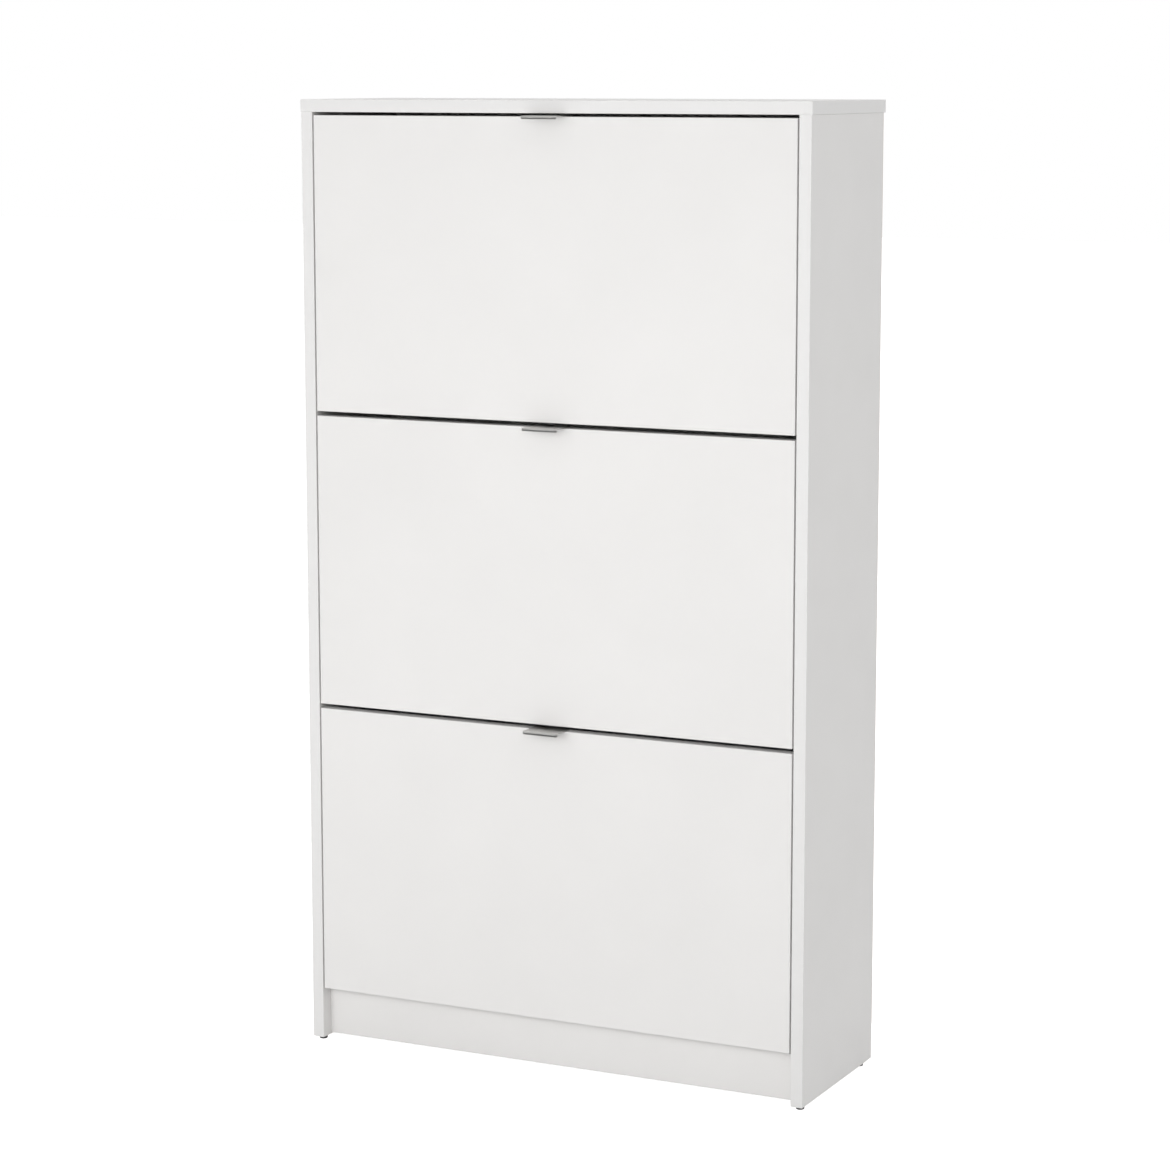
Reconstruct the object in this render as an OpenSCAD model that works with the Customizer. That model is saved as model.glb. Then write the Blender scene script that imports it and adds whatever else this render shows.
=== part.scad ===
// Shoe cabinet with three tip-out flaps over a plinth, as flat-pack furniture is built.
// All sizes are in millimetres. The front faces -Y, +X is to the right and Z = 0 is the floor.

/* [Cabinet] */
// Width over the outer faces of the two sides
cabinet_w = 702; // [600:1:900]
// Depth of the sides, from front edge to rear edge
side_d = 235; // [226:1:320]
// Thickness of the sides, top, plinth, rails, bottom panel and flaps
board_t = 16; // [15:0.5:18]
// How far the top panel reaches past each side
top_over_side = 1; // [0:0.5:10]
// How far the top panel reaches behind the sides, over the back panels
top_over_rear = 5; // [5:0.5:20]

/* [Flaps] */
// Height of each flap
flap_h = 378; // [360:1:420]
// Gap between one flap and the next
flap_gap = 6; // [5.5:0.5:12]
// Gap between the upper flap and the top panel
top_gap = 4; // [2:0.5:12]
// Gap between a flap and each side
side_gap = 2; // [1:0.25:2.5]
/* [Handles] */
// Width of a handle's tab
handle_w = 48; // [40:1:120]
// How far the tab stands out in front of the flap
handle_out = 25; // [12:1:35]
// Radius of a handle's front corners
handle_r = 3; // [1.5:0.5:8]
// Thickness of a handle's bent sheet
handle_t = 1.2; // [0.8:0.1:1.6]
// How far the front lip hangs below the flap's top edge
handle_lip = 2.6; // [1:0.1:6]
// Length of the leg behind the flap
handle_leg = 22; // [16:1:40]
// Distance of a handle's screws from its middle
handle_screw_x = 14; // [8:0.5:15]

/* [Base] */
// Height of the plinth board
plinth_h = 60; // [50:1:120]
// Lift of the plinth above the lower ends of the sides
plinth_lift = 2; // [1:0.5:6]
// How far the plinth stands back from the front edges of the sides
plinth_back = 19; // [5:1:40]
// Gap between the plinth and the lower flap
base_gap = 6; // [5:0.5:12]
// Diameter of a glide
glide_d = 11; // [10:0.5:15]
// Height of a glide
glide_h = 5; // [3:0.5:12]
// Distance from a side's front edge to its front glide's centre
glide_front = 13; // [10:1:60]
// Distance from a side's rear edge to its rear glide's centre
glide_rear = 23; // [10:1:60]

/* [Flap pivots] */
// Distance from the flap's front face back to its pivot
pivot_in = 24; // [23.5:0.5:26]
// Height of the pivot above the flap's lower edge
pivot_up = 90; // [80:1:100]
// Diameter of the pivot pin
pivot_d = 8; // [6:0.5:8.5]
// Radial clearance of the pivot pin in the bracket
pivot_fit = 0.05; // [0.03:0.01:0.1]
// Angle that a flap opens through
open_angle = 42; // [25:1:45]
// Distance from the pivot to the stop pin, both up and back
stop_offset = 32; // [26:1:38]
// Diameter of the stop pin
stop_d = 6; // [4:0.5:7]

/* [Shoe racks] */
// Thickness of the rack's thin boards
rack_t = 3; // [2.5:0.5:4]
// Clear depth of the front row of shoes
front_row = 92; // [80:1:98]
// Clear depth of the rear row of shoes
rear_row = 94; // [70:1:98]
// Height of the front floor above the flap's lower edge
floor_up = 28; // [20:1:36]
// Height of the rear floor above the front floor
step_up = 50; // [35:1:70]
// Height of the divider above the front floor
divider_h = 202; // [150:1:220]
// Height of the rear wall above the rear floor
rear_wall_h = 192; // [120:1:200]

/* [End brackets] */
// Thickness of an end bracket's plate
plate_t = 2.5; // [2:0.1:3.5]
// Margin of the plate around the rack's boards
plate_margin = 6; // [4:0.5:9]
// Thickness of the ribs that hold the rack's boards
rib_t = 2; // [1.5:0.1:3]
// Depth of the ribs
rib_d = 8; // [5:0.5:14]
// Thickness of the flange that is screwed to the flap
flange_t = 3; // [2:0.25:4]
// Width of the flange
flange_w = 24; // [20:1:40]
// Distance of the flange's screws from the plate's outer face
flange_screw_in = 16; // [15.5:0.25:16]
// Thickness of the gussets between the flange and the plate
gusset_t = 2; // [1.5:0.25:3]
// Length of the gussets along the plate
gusset_l = 12; // [8:0.5:20]
// Diameter of the boss round the pivot
boss_d = 14; // [12.5:0.5:14]
// Length of the boss
boss_l = 12; // [6:0.5:20]

/* [Rails and back] */
// Height of each rear rail
rail_h = 70; // [60:1:90]
// Thickness of the back panels
back_t = 3; // [2.5:0.25:3.5]
// How far the back panels stop short of the sides' outer faces
back_inset = 1; // [0.5:0.5:3]
// Height of the strip that joins the two back panels
strip_h = 15; // [10:1:30]
// Wall thickness of the joining strip
strip_t = 1; // [0.6:0.1:1.2]
// Spacing of the nails along the sides
nail_step = 110; // [60:5:160]

/* [Fittings] */
// Diameter of a cam lock
cam_d = 15; // [12:0.5:15]
// Height of a cam lock
cam_h = 12; // [10:0.5:12.5]
// Distance from a joint to its cam lock's centre
cam_reach = 24; // [20:1:34]
// Diameter of a cam bolt's thread
bolt_thread_d = 5; // [4:0.5:6]
// Length of a cam bolt's thread
bolt_thread_l = 11; // [8:0.5:12]
// Diameter of a cam bolt's shank
bolt_d = 6; // [5:0.5:7]
// Diameter of a wooden dowel
dowel_d = 8; // [6:0.5:8]
// Length of a wooden dowel
dowel_l = 30; // [25:1:40]
// Depth that a wooden dowel goes into the board that it meets face on
dowel_in = 11; // [8:0.5:12]
// Diameter of a screw's shank
screw_d = 3.5; // [3:0.25:4]
// Length of a screw under its head
screw_l = 14; // [12:0.5:14.5]
// Diameter of a screw's head
screw_head_d = 7; // [6:0.25:8]

/* [Wall fixing] */
// Distance between the two wall screws
wall_spacing = 400; // [200:10:480]
// Diameter of the hole for a wall screw
wall_hole_d = 6; // [4:0.5:8]
// Width of a wall plate
wall_plate_w = 50; // [40:1:80]
// Height of a wall plate
wall_plate_h = 24; // [18:1:40]
// Thickness of a wall plate
wall_plate_t = 2; // [1.5:0.25:3]

/* [Hidden] */
$fn = 48;
eps = 0.01;

// Colours
white = [0.92, 0.92, 0.91];
thin_white = [0.88, 0.88, 0.86];
bracket_white = [0.80, 0.81, 0.80];
steel = [0.66, 0.67, 0.68];
zinc = [0.56, 0.57, 0.58];
beech = [0.80, 0.66, 0.47];
dark = [0.16, 0.16, 0.17];

// Clearances
fit = 0.05;        // round pin or peg in a drilled hole, on the radius
slide_fit = 0.1;   // flat board in a slot, on each face
loose = 0.3;       // pieces that pass or end near each other
hole_spare = 0.5;  // how much deeper a blind hole is than what it holds

// Levels, from the floor up
levels = ["lower", "middle", "upper"];
last_level = len(levels) - 1;
side_bottom = glide_h;
plinth_bottom = side_bottom + plinth_lift;
plinth_top = plinth_bottom + plinth_h;
first_flap_z = plinth_top + base_gap;
flap_pitch = flap_h + flap_gap;
side_top = first_flap_z + last_level * flap_pitch + flap_h + top_gap;
cabinet_top = side_top + board_t;
function flap_z(level) = first_flap_z + level * flap_pitch;
function rail_top(level) = level < last_level ? flap_z(level) + flap_h : side_top;

// Across and along; Y is counted from the front faces of the flaps
outer_x = cabinet_w / 2;
inner_x = outer_x - board_t;
side_mid_x = outer_x - board_t / 2;
top_d = side_d + top_over_rear;
front_y = handle_out - (top_d + handle_out) / 2;
flap_w = 2 * (inner_x - side_gap);
plinth_rear = plinth_back + board_t;
rail_y = side_d - board_t;

// Racks
pivot_flange_t = 3;
plate_x = inner_x - pivot_flange_t - loose;     // outer face of a bracket's plate
plate_in_x = plate_x - plate_t;                 // inner face of the plate
rack_half = plate_in_x - loose;                 // half the length of a rack board
divider_y = board_t + front_row;
rear_wall_y = divider_y + rack_t + rear_row;
rear_floor_up = floor_up + step_up;
divider_top = floor_up + divider_h;
rear_wall_top = rear_floor_up + rear_wall_h;
// Each board of a rack as [front, bottom, rear, top], from the flap's face and lower edge
front_floor_box = [board_t + flange_t + loose, floor_up, divider_y, floor_up + rack_t];
divider_box = [divider_y, floor_up, divider_y + rack_t, divider_top];
rear_floor_box = [divider_y + rack_t, rear_floor_up, rear_wall_y, rear_floor_up + rack_t];
rear_wall_box = [rear_wall_y, rear_floor_up, rear_wall_y + rack_t, rear_wall_top];
rack_boxes = [front_floor_box, divider_box, rear_floor_box, rear_wall_box];

// Screws
screw_head_h = 2.2;
screw_taper = 0.8;      // top of a screw's head, as a share of its diameter
cross_w = 1.1;
cross_depth = 1.3;
cross_reach = 0.6;      // length of a crossed recess, as a share of what it is cut in
low_screw_up = 22;      // a bracket's lowest screw, above the front floor
mid_screw_up = 40;      // its middle screw, above the pivot
high_screw_down = 20;   // its highest screw, below the divider's top
bracket_screw_x = plate_x - flange_screw_in;
bracket_screw_zs = [floor_up + low_screw_up, pivot_up + mid_screw_up, divider_top - high_screw_down];
gusset_off = 9;         // a gusset's middle, above and below each screw
gusset_zs = [for (z = bracket_screw_zs, side = [-1, 1]) z + side * gusset_off - gusset_t / 2];
handle_screw_z = flap_h - handle_leg / 2;

// Joints between boards as [point on the joint, turn about X, tilt about Y], for the right-hand end
facing_rear = -90;
facing_down = 180;
from_side = -90;
from_top = 180;
top_cam_in = 42;        // the top's cams, from the sides' front and rear edges
top_dowel_in = 78;      // the top's dowels, from the same edges
bottom_cam_in = 40;     // the bottom panel's cams, from its front and rear edges
plinth_cam_up = 19;     // the plinth's cams, above its lower edge
plinth_dowel_down = 10; // the plinth's dowels, below its upper edge
top_cam_ys = [top_cam_in, side_d - top_cam_in];
top_dowel_ys = [top_dowel_in, side_d - top_dowel_in];
bottom_cam_ys = [plinth_rear + bottom_cam_in, side_d - bottom_cam_in];
bottom_mid_z = plinth_top - board_t / 2;
rail_mid_y = side_d - board_t / 2;
plinth_mid_y = plinth_back + board_t / 2;
rail_cam_up = 0.32;     // height of a rail's cam, as a share of the rail
rail_dowel_up = 0.72;   // height of a rail's dowel, as a share of the rail
top_cams = [for (y = top_cam_ys) [[side_mid_x, y, side_top], 0, from_top]];
top_dowels = [for (y = top_dowel_ys) [[side_mid_x, y, side_top], 0, from_top]];
bottom_cams = [for (y = bottom_cam_ys) [[inner_x, y, bottom_mid_z], facing_down, from_side]];
bottom_dowel_y = (bottom_cam_ys[0] + bottom_cam_ys[1]) / 2;
bottom_dowels = [[[inner_x, bottom_dowel_y, bottom_mid_z], facing_down, from_side]];
plinth_cams = [[[inner_x, plinth_mid_y, plinth_bottom + plinth_cam_up], facing_rear, from_side]];
plinth_dowels = [[[inner_x, plinth_mid_y, plinth_top - plinth_dowel_down], facing_rear, from_side]];
function rail_cams(level) =
    [[[inner_x, rail_mid_y, rail_top(level) - rail_h * (1 - rail_cam_up)], facing_rear, from_side]];
function rail_dowels(level) =
    [[[inner_x, rail_mid_y, rail_top(level) - rail_h * (1 - rail_dowel_up)], facing_rear, from_side]];
all_cams = concat(top_cams, bottom_cams, plinth_cams, [for (i = [0:last_level]) each rail_cams(i)]);
all_dowels = concat(top_dowels, bottom_dowels, plinth_dowels, [for (i = [0:last_level]) each rail_dowels(i)]);

// Cam bolt and cam lock
bolt_neck_d = 3.2;
bolt_neck_l = 4;
bolt_head_l = 3.5;
bolt_head_z = cam_reach - bolt_head_l / 2;      // where the head starts, from the joint
bolt_head_low_d = 4.2;
cam_cross_w = 1.6;
cam_cross_depth = 2.5;

// Pivot and stop pins
peg_d = 10;             // the pivot pin's peg in the side
peg_l = 11;
pivot_flange_d = 14;
pivot_bore_d = pivot_d + 2 * pivot_fit;
stop_r = stop_offset * sqrt(2);
stop_angle = 45;
stop_slot_r = stop_d / 2 + loose;

// Glides
glide_peg_d = 5;
glide_peg_l = 10;

// Back
back_low = plinth_top - board_t;
back_high = side_top;
back_mid = (back_low + back_high) / 2;
back_half = outer_x - back_inset;
strip_short = 1;        // how far the joining strip stops short of the sides' inner faces
strip_half = inner_x - strip_short;
nail_d = 1.6;
nail_l = 16;
nail_head_d = 4;
nail_head_t = 0.8;
nail_edge = 25;         // first and last nail, from a back panel's ends
// Heights of the nails along a side, evenly spread over a panel from low to high
function nail_zs(low, high) =
    let (run = high - low - 2 * nail_edge, count = ceil(run / nail_step))
    [for (k = [0:count]) low + nail_edge + run * k / count];
back_joint = strip_t / 2 + slide_fit;           // half the space between the two panels
rail_nail_xs = [-inner_x / 2, 0, inner_x / 2];
// Height of a rail's nails: halfway up it, or above the wall plates on the upper rail
function rail_nail_z(level) = rail_top(level) - rail_h * (level == last_level ? 1 / 4 : 1 / 2);

// Wall plates
wall_z = side_top - rail_h / 2;
wall_screw_in = 9;      // a wall plate's screws, from its ends
wall_screw_x = wall_plate_w / 2 - wall_screw_in;
wall_screw_l = 13;

// Outlines -----------------------------------------------------------------

function unit(v) = v / norm(v);

// Points of the arc that rounds the corner at q, between p and s, to radius r
function corner_arc(p, q, s, r, steps = 6) =
    let (
        a = unit(p - q),
        b = unit(s - q),
        half = acos(a * b) / 2,
        centre = q + unit(a + b) * r / sin(half),
        from = q + a * r / tan(half) - centre,
        to = q + b * r / tan(half) - centre,
        start = atan2(from[1], from[0]),
        sweep = (atan2(to[1], to[0]) - start + 540) % 360 - 180
    )
    [for (k = [0:steps]) centre + r * [cos(start + sweep * k / steps), sin(start + sweep * k / steps)]];

// Closed outline through points [y, z, radius], each corner rounded to its radius
function rounded(points) =
    let (n = len(points))
    [for (i = [0:n - 1])
        let (p = points[(i + n - 1) % n], q = points[i], s = points[(i + 1) % n])
        each corner_arc([p[0], p[1]], [q[0], q[1]], [s[0], s[1]], q[2])];

// Outline of a bracket's plate: two stepped rows, from the flap back to the rear wall
small_r = 1;
foot_r = 6;
shoulder_r = 8;
sweep_r = 14;
flange_short = 4;       // how far the flange stops below the divider's top
flange_reach = 20;      // how far the plate's edge runs back from the flange before it rises
plate_low = floor_up - plate_margin;
plate_step = rear_floor_up - plate_margin;
plate_rear = rear_wall_y + rack_t + plate_margin;
plate_mid = divider_y + rack_t + plate_margin;
plate_top = rear_wall_top + plate_margin;
flange_top = divider_top - flange_short;
plate_outline = rounded([
    [board_t, plate_low, small_r],
    [plate_mid, plate_low, foot_r],
    [plate_mid, plate_step, foot_r],
    [plate_rear, plate_step, shoulder_r],
    [plate_rear, plate_top, foot_r],
    [rear_wall_y - plate_margin - rib_t, plate_top, shoulder_r],
    [plate_mid + rib_t, divider_top + plate_margin, sweep_r],
    [divider_y - plate_margin - rib_t, divider_top + plate_margin, shoulder_r],
    [board_t + flange_t + flange_reach, flange_top, sweep_r],
    [board_t, flange_top, small_r],
]);

// Helpers ------------------------------------------------------------------

// Moves a piece from the flap-face origin to the cabinet's own origin
module placed() {
    translate([0, front_y, 0]) children();
}

module both_ends() {
    children();
    mirror([1, 0, 0]) children();
}

// Box from one corner to the opposite one
module block(low, high) {
    translate(low) cube(high - low);
}

// Extrudes a [y, z] outline along X
module along_x(from, to) {
    translate([from, 0, 0]) rotate([90, 0, 90]) linear_extrude(to - from) children();
}

// Round bar along X
module bar_x(d, from, to) {
    along_x(from, to) circle(d = d);
}

// Round bar along Y
module bar_y(d, from, to) {
    translate([0, to, 0]) rotate([90, 0, 0]) cylinder(d = d, h = to - from);
}

module at_joint(place) {
    translate(place[0]) rotate([place[1], 0, 0]) rotate([0, place[2], 0]) children();
}

// Crossed recess in the end of a fastener, cut down from Z = 0
module cross_recess(across, w, depth) {
    for (turn = [0, 90]) rotate([0, 0, turn])
        translate([-across / 2, -w / 2, -depth]) cube([across, w, depth + eps]);
}

// Wood screw that points along +Y, its head's underside at the origin
module screw(length, d, head_d) {
    rotate([90, 0, 0]) difference() {
        union() {
            translate([0, 0, -length]) cylinder(d = d, h = length + eps);
            cylinder(d1 = head_d, d2 = head_d * screw_taper, h = screw_head_h);
        }
        translate([0, 0, screw_head_h]) cross_recess(head_d * cross_reach, cross_w, cross_depth);
    }
}

// Pilot hole for a screw that points along -Y, from the origin
module pilot(depth, d) {
    bar_y(d + 2 * fit, -depth, eps);
}

// Joints between boards ----------------------------------------------------
// Each is drawn with the joint at Z = 0, the board that holds the cam above it and the cam opening to +X.

module cam_drilling() {
    translate([0, 0, -bolt_thread_l - hole_spare])
        cylinder(d = bolt_thread_d + 2 * fit, h = bolt_thread_l + hole_spare + eps);
    cylinder(d = bolt_d + 2 * loose, h = cam_reach);
    translate([board_t / 2 - cam_h - hole_spare, 0, cam_reach]) rotate([0, 90, 0])
        cylinder(d = cam_d + 2 * fit, h = cam_h + hole_spare + eps);
}

module dowel_drilling() {
    translate([0, 0, -dowel_in - hole_spare])
        cylinder(d = dowel_d + 2 * fit, h = dowel_l + 2 * hole_spare);
}

module cam_bolt() {
    translate([0, 0, -bolt_thread_l]) cylinder(d = bolt_thread_d, h = bolt_thread_l + eps);
    cylinder(d = bolt_d, h = bolt_head_z - bolt_neck_l);
    translate([0, 0, bolt_head_z - bolt_neck_l - eps]) cylinder(d = bolt_neck_d, h = bolt_neck_l + 2 * eps);
    translate([0, 0, bolt_head_z]) cylinder(d1 = bolt_head_low_d, d2 = bolt_d, h = bolt_head_l);
}

module cam_lock() {
    neck_w = bolt_neck_d + 2 * loose;
    head_w = bolt_d + 2 * loose;
    difference() {
        translate([board_t / 2 - cam_h, 0, cam_reach]) rotate([0, 90, 0]) cylinder(d = cam_d, h = cam_h);
        // Wide at the rim for the bolt's shank, narrow for its neck and wide again for its head
        translate([-head_w / 2, -head_w / 2, 0]) cube([head_w, head_w, bolt_head_z - bolt_neck_l + loose]);
        translate([-neck_w / 2, -neck_w / 2, 0]) cube([neck_w, neck_w, cam_reach]);
        translate([-head_w / 2, -head_w / 2, bolt_head_z - loose])
            cube([head_w, head_w, bolt_head_l + 2 * loose]);
        translate([board_t / 2, 0, cam_reach]) rotate([0, 90, 0])
            cross_recess(cam_d * cross_reach, cam_cross_w, cam_cross_depth);
    }
}

module dowel() {
    chamfer = 1;
    translate([0, 0, -dowel_in]) cylinder(d1 = dowel_d - 2 * chamfer, d2 = dowel_d, h = chamfer);
    translate([0, 0, chamfer - dowel_in]) cylinder(d = dowel_d, h = dowel_l - 2 * chamfer);
    translate([0, 0, dowel_l - chamfer - dowel_in])
        cylinder(d1 = dowel_d, d2 = dowel_d - 2 * chamfer, h = chamfer);
}

// Carcass ------------------------------------------------------------------

module top_panel() color(white) difference() {
    block([-outer_x - top_over_side, 0, side_top], [outer_x + top_over_side, top_d, cabinet_top]);
    both_ends() {
        for (p = top_cams) at_joint(p) cam_drilling();
        for (p = top_dowels) at_joint(p) dowel_drilling();
    }
}

module right_side() color(white) difference() {
    block([inner_x, 0, side_bottom], [outer_x, side_d, side_top]);
    for (p = all_cams) at_joint(p) cam_drilling();
    for (p = all_dowels) at_joint(p) dowel_drilling();
    for (i = [0:last_level]) {
        translate([0, pivot_in, flap_z(i) + pivot_up])
            bar_x(peg_d + 2 * fit, inner_x - eps, inner_x + peg_l + hole_spare);
        translate([0, pivot_in + stop_offset, flap_z(i) + pivot_up + stop_offset])
            bar_x(stop_d + 2 * fit, inner_x - eps, inner_x + peg_l + hole_spare);
    }
    for (y = [glide_front, side_d - glide_rear])
        translate([side_mid_x, y, side_bottom - eps])
            cylinder(d = glide_peg_d + 2 * fit, h = glide_peg_l + hole_spare);
}

module left_side() {
    mirror([1, 0, 0]) right_side();
}

module plinth() color(white) difference() {
    block([-inner_x, plinth_back, plinth_bottom], [inner_x, plinth_rear, plinth_top]);
    both_ends() {
        for (p = plinth_cams) at_joint(p) cam_drilling();
        for (p = plinth_dowels) at_joint(p) dowel_drilling();
    }
}

module bottom_panel() color(white) difference() {
    block([-inner_x, plinth_rear, plinth_top - board_t], [inner_x, side_d, plinth_top]);
    both_ends() {
        for (p = bottom_cams) at_joint(p) cam_drilling();
        for (p = bottom_dowels) at_joint(p) dowel_drilling();
    }
}

module rail(level) color(white) difference() {
    block([-inner_x, rail_y, rail_top(level) - rail_h], [inner_x, side_d, rail_top(level)]);
    both_ends() {
        for (p = rail_cams(level)) at_joint(p) cam_drilling();
        for (p = rail_dowels(level)) at_joint(p) dowel_drilling();
    }
    if (level == last_level) both_ends() wall_drilling();
}

module back(low, high) color(thin_white) difference() {
    block([-back_half, side_d, low], [back_half, side_d + back_t, high]);
    both_ends() wall_drilling();
}

module lower_back() {
    back(back_low, back_mid - back_joint);
}

module upper_back() {
    back(back_mid + back_joint, back_high);
}

// H-shaped strip between the two back panels
module back_strip() color(thin_white) along_x(-strip_half, strip_half) {
    slot = back_t + 2 * slide_fit;
    rear = side_d + back_t + slide_fit;
    translate([side_d - slide_fit, back_mid - strip_t / 2]) square([slot, strip_t]);
    for (y = [side_d - slide_fit - strip_t, rear])
        translate([y, back_mid - strip_h / 2]) square([strip_t, strip_h]);
}

// Flat-headed nail that points along -Y, its head's underside on the back panel
module nail() {
    bar_y(nail_d, -nail_l, 0);
    bar_y(nail_head_d, -eps, nail_head_t);
}

module back_nails() color(steel) translate([0, side_d + back_t, 0]) {
    both_ends() {
        for (z = nail_zs(back_low, back_mid - back_joint)) translate([side_mid_x, 0, z]) nail();
        for (z = nail_zs(back_mid + back_joint, back_high)) translate([side_mid_x, 0, z]) nail();
    }
    for (i = [0:last_level], x = rail_nail_xs)
        translate([x, 0, rail_nail_z(i)]) nail();
    for (x = rail_nail_xs) translate([x, 0, plinth_top - board_t / 2]) nail();
}

module cam_locks() color(zinc) both_ends() for (p = all_cams) at_joint(p) cam_lock();

module cam_bolts() color(steel) both_ends() for (p = all_cams) at_joint(p) cam_bolt();

module dowels() color(beech) both_ends() for (p = all_dowels) at_joint(p) dowel();

// Round glide with a peg that is pushed up into the side
module glide() {
    edge = 1.5;
    rotate_extrude() polygon([
        [0, 0], [glide_d / 2 - edge, 0], [glide_d / 2, edge], [glide_d / 2, glide_h],
        [glide_peg_d / 2, glide_h], [glide_peg_d / 2, glide_h + glide_peg_l], [0, glide_h + glide_peg_l],
    ]);
}

module glides() color(dark) both_ends() for (y = [glide_front, side_d - glide_rear])
    translate([side_mid_x, y, 0]) glide();

// Pivot pin: a peg in the side, a flange that spaces the flap off it and the pin that carries the bracket
module pivot_pins() color(bracket_white) both_ends() for (i = [0:last_level])
    translate([0, pivot_in, flap_z(i) + pivot_up]) {
        bar_x(peg_d, inner_x - eps, inner_x + peg_l);
        bar_x(pivot_flange_d, inner_x - pivot_flange_t, inner_x);
        bar_x(pivot_d, plate_x - boss_l - loose, inner_x - pivot_flange_t + eps);
    }

// Stop pin: reaches through the curved slot of a bracket
module stop_pins() color(steel) both_ends() for (i = [0:last_level])
    translate([0, pivot_in + stop_offset, flap_z(i) + pivot_up + stop_offset])
        bar_x(stop_d, plate_in_x, inner_x + peg_l);

// Hole for a wall screw, through a wall plate, the upper rail and the back panel
module wall_drilling() {
    translate([wall_spacing / 2, 0, wall_z])
        bar_y(wall_hole_d, rail_y - wall_plate_t - eps, side_d + back_t + eps);
    for (side = [-1, 1]) translate([wall_spacing / 2 + side * wall_screw_x, rail_y, wall_z])
        bar_y(screw_d + 2 * fit, -wall_plate_t - eps, wall_screw_l - wall_plate_t + hole_spare);
}

module wall_plates() color(steel) both_ends() difference() {
    block([wall_spacing / 2 - wall_plate_w / 2, rail_y - wall_plate_t, wall_z - wall_plate_h / 2],
        [wall_spacing / 2 + wall_plate_w / 2, rail_y, wall_z + wall_plate_h / 2]);
    wall_drilling();
}

module wall_plate_screws() color(steel) both_ends() for (side = [-1, 1])
    translate([wall_spacing / 2 + side * wall_screw_x, rail_y - wall_plate_t, wall_z])
        screw(wall_screw_l, screw_d, screw_head_d);

// Flap units, drawn with the flap's lower edge at Z = 0 --------------------

module flap() color(white) difference() {
    block([-flap_w / 2, 0, 0], [flap_w / 2, board_t, flap_h]);
    both_ends() {
        for (z = bracket_screw_zs) translate([bracket_screw_x, board_t, z])
            pilot(screw_l - flange_t + hole_spare, screw_d);
        translate([handle_screw_x, board_t, handle_screw_z])
            pilot(screw_l - handle_t + hole_spare, screw_d);
    }
}

// Plan of the handle's tab, its front corners rounded, drawn in by the given amount
module tab_plan(inset) {
    r = handle_r - inset;
    front = inset - handle_out;
    half = handle_w / 2 - inset;
    for (side = [-1, 1]) translate([side * (half - r), front + r]) circle(r);
    translate([r - half, front]) square([2 * (half - r), handle_out]);
    translate([-half, front + r]) square([2 * half, handle_out + board_t + handle_t - r - inset]);
}

// Tab of bent sheet that lies over the flap's top edge, with a lip in front and a leg behind
module handle() color(steel) {
    translate([0, 0, flap_h]) linear_extrude(handle_t) tab_plan(0);
    translate([0, 0, flap_h - handle_lip]) linear_extrude(handle_lip + eps) intersection() {
        difference() {
            tab_plan(0);
            tab_plan(handle_t);
        }
        translate([-handle_w / 2, -handle_out]) square([handle_w, handle_r]);
    }
    difference() {
        block([-handle_w / 2, board_t, flap_h - handle_leg],
              [handle_w / 2, board_t + handle_t, flap_h + eps]);
        both_ends() translate([handle_screw_x, board_t, handle_screw_z])
            bar_y(screw_d + 2 * fit, -eps, handle_t + eps);
    }
}

// A screw turned to point forwards, into the rear of the flap
module flap_screw() {
    rotate([0, 0, 180]) screw(screw_l, screw_d, screw_head_d);
}

module flap_screws() color(steel) both_ends() {
    for (z = bracket_screw_zs) translate([bracket_screw_x, board_t + flange_t, z]) flap_screw();
    translate([handle_screw_x, board_t + handle_t, handle_screw_z]) flap_screw();
}

// A rack board's end as an outline, grown by the given amount
module board_end(box, grow) {
    translate([box[0] - grow, box[1] - grow])
        square([box[2] - box[0] + 2 * grow, box[3] - box[1] + 2 * grow]);
}

// Points of an arc about a centre
function arc(centre, r, from, to, steps) = [
    for (k = [0:steps]) let (turn = from + (to - from) * k / steps) centre + r * [cos(turn), sin(turn)]
];

// Curved slot for the stop pin, about the pivot, from fully open to shut
module stop_slot() {
    side_steps = 14;
    cap_steps = 12;
    cap_turn = 180 / cap_steps;
    open_turn = stop_angle - open_angle;
    shut_end = stop_r * [cos(stop_angle), sin(stop_angle)];
    open_end = stop_r * [cos(open_turn), sin(open_turn)];
    polygon(concat(
        arc([0, 0], stop_r + stop_slot_r, open_turn, stop_angle, side_steps),
        arc(shut_end, stop_slot_r, stop_angle + cap_turn, stop_angle + 180 - cap_turn, cap_steps - 2),
        arc([0, 0], stop_r - stop_slot_r, stop_angle, open_turn, side_steps),
        arc(open_end, stop_slot_r, open_turn + 180 + cap_turn, open_turn + 360 - cap_turn, cap_steps - 2)
    ));
}

// Triangular gusset in the corner between the flange and the plate
module gusset() {
    corner_y = board_t + flange_t;
    linear_extrude(gusset_t) polygon([
        [plate_in_x + eps, corner_y - eps],
        [plate_x - boss_l, corner_y - eps],
        [plate_in_x + eps, corner_y + gusset_l],
    ]);
}

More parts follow.
